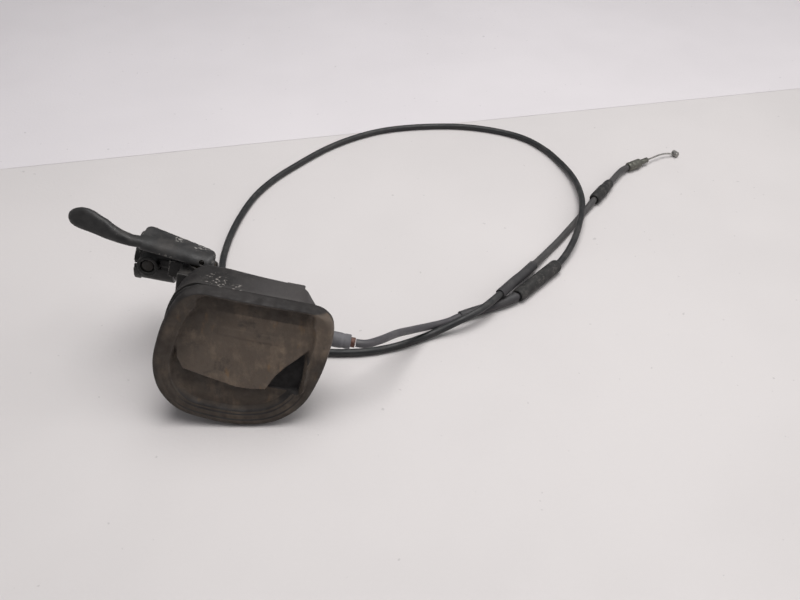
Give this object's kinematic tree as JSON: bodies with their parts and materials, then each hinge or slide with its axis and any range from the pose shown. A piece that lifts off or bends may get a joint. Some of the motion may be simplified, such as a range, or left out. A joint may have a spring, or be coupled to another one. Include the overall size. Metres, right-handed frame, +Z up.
{
  "type": "thumb throttle",
  "caption": "Handlebar thumb throttle with a swinging lever, a split clamp and a long sheathed cable with an in-line adjuster.",
  "frame": {"origin": "centre of the base of the throttle's own box, without the cable, on the surface that it rests on", "axes": "+X along the throttle from the thumb lever to the cable exit, -Y faced by the front cover, +Z up from the surface"},
  "size_m": [0.425, 0.3533, 0.1014],
  "materials": {
    "housing": "moulded plastic, scuffed",
    "cover": "moulded plastic under dried dust",
    "black_rubber": "matt rubber",
    "grey_rubber": "dusty rubber",
    "cast_alloy": "black paint over cast alloy, chipped",
    "steel": "zinc-plated steel, dulled",
    "bushing_bronze": "plain bearing bronze",
    "rusty_steel": "rusted steel",
    "grey_conduit": "plastic conduit jacket, dusty",
    "black_conduit": "plastic conduit jacket, satin",
    "olive_metal": "passivated metal, dulled"
  },
  "bodies": {
    "root": {"housing_shell": "housing", "front_cover": "cover", "cover_gasket": "black_rubber", "adjuster_boot": "black_rubber", "exit_boot": "grey_rubber", "pivot_bracket": "cast_alloy", "clamp_cap": "cast_alloy", "cover_screw_left": "steel", "cover_screw_right": "steel", "bracket_screw_upper": "steel", "bracket_screw_lower": "steel", "clamp_lock_screw": "steel", "clamp_washer": "steel", "clamp_screw": "steel", "return_spring": "steel", "cable_fitting": "steel", "fitting_nut": "steel", "adjuster_barrel": "steel", "adjuster_screw": "steel", "adjuster_nut": "steel", "upper_bushing": "bushing_bronze", "lower_bushing": "bushing_bronze", "near_ferrule": "rusty_steel", "cable_near": "grey_conduit", "cable_main": "black_conduit", "sleeve_near": "black_conduit", "sleeve_far": "black_conduit", "far_ferrule": "olive_metal"},
    "lever": {"thumb_lever": "cast_alloy", "pivot_shaft": "steel", "lever_pin": "steel", "throttle_arm": "steel", "near_barrel": "steel", "retaining_ring": "steel"},
    "near_wire": {"inner_wire_near": "steel"},
    "far_wire": {"inner_wire_far": "steel", "far_barrel": "steel"},
    "cable_boot": {"far_boot": "black_rubber"}
  },
  "joints": [
    {"name": "lever_pivot", "type": "hinge", "parent": "root", "child": "lever", "pos_m": [-0.0029, 0.00729, 0.07888], "axis": [-0.2079, -0.2034, -0.9568], "range_deg": [0, 30], "stiffness_Nm_per_rad": 0.35, "springref_deg": -20.05},
    {"name": "near_wire_pull", "type": "slide", "parent": "root", "child": "near_wire", "axis": [-0.9781, 0.0432, 0.2034], "range_m": [0, 0.0136]},
    {"name": "far_wire_pull", "type": "slide", "parent": "root", "child": "far_wire", "axis": [-0.84, -0.5426, 0], "range_m": [0, 0.0136]},
    {"name": "cable_boot_slide", "type": "slide", "parent": "root", "child": "cable_boot", "axis": [0.5692, 0.8222, 0], "range_m": [0, 0.018]}
  ],
  "couplings": [
    {"joint": "near_wire_pull", "follows": "lever_pivot", "m_per_rad": 0.0255},
    {"joint": "far_wire_pull", "follows": "lever_pivot", "m_per_rad": 0.0255}
  ]
}
